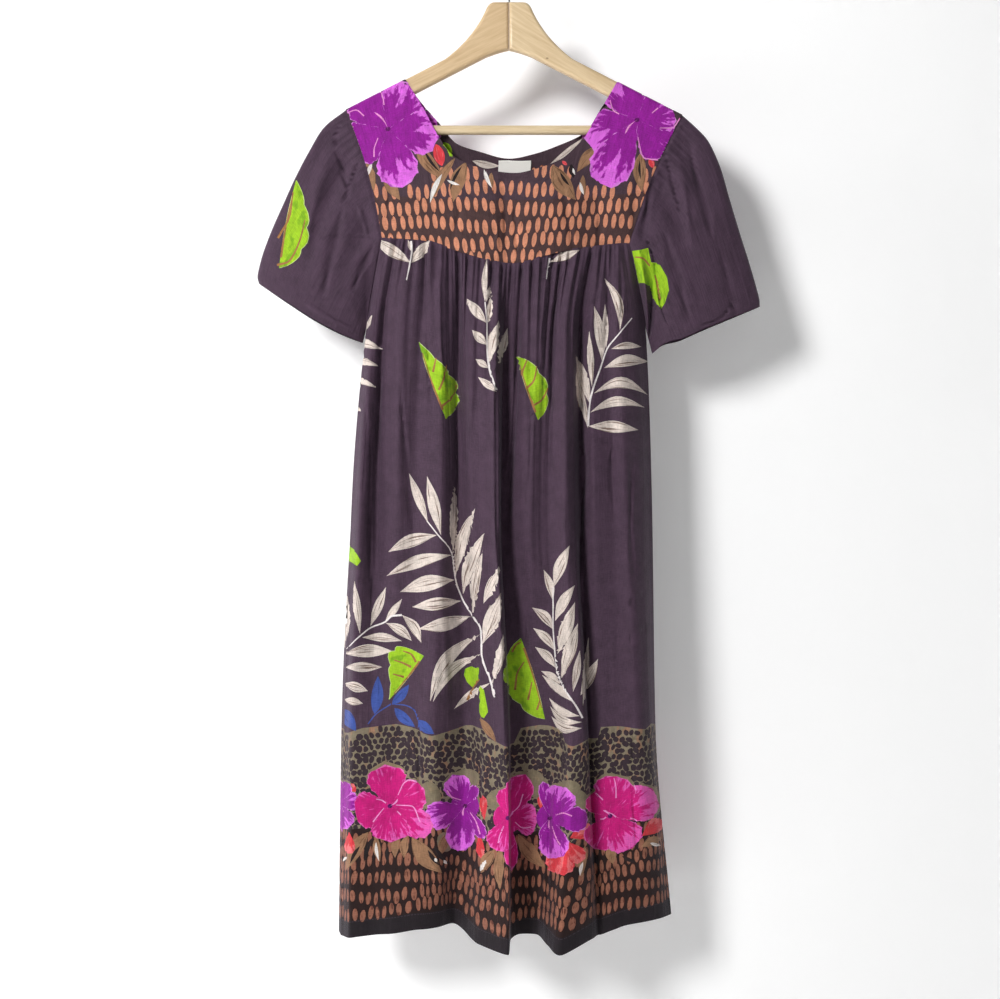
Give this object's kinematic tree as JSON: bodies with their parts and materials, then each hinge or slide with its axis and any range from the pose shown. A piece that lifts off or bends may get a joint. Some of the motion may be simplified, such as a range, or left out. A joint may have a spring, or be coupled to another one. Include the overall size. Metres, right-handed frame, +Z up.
{
  "type": "muumuu dress on a hanger",
  "caption": "Loose full-length muumuu dress with a yoke, gathered panels and short wide sleeves, hung on a flat wooden hanger with a steel hook.",
  "frame": {"origin": "inside top of the hanger's hook, where it rests on a rod", "axes": "+Z up, the dress front faces -Y, +X to the right as seen from the front"},
  "size_m": [0.6537, 0.137, 1.2634],
  "materials": {
    "printed_cotton": "soft dark aubergine cotton with a tropical print",
    "label_cloth": "white woven label, blank",
    "hanger_wood": "pale varnished lotus wood",
    "hook_steel": "bright plated wire"
  },
  "bodies": {
    "root": {"front_panel": "printed_cotton", "back_panel": "printed_cotton", "front_yoke": "printed_cotton", "back_yoke": "printed_cotton", "sleeve_left": "printed_cotton", "sleeve_right": "printed_cotton", "neck_label": "label_cloth", "hanger_arm_left": "hanger_wood", "hanger_arm_right": "hanger_wood", "hanger_bar": "hanger_wood", "hanger_hook": "hook_steel"}
  },
  "joints": []
}
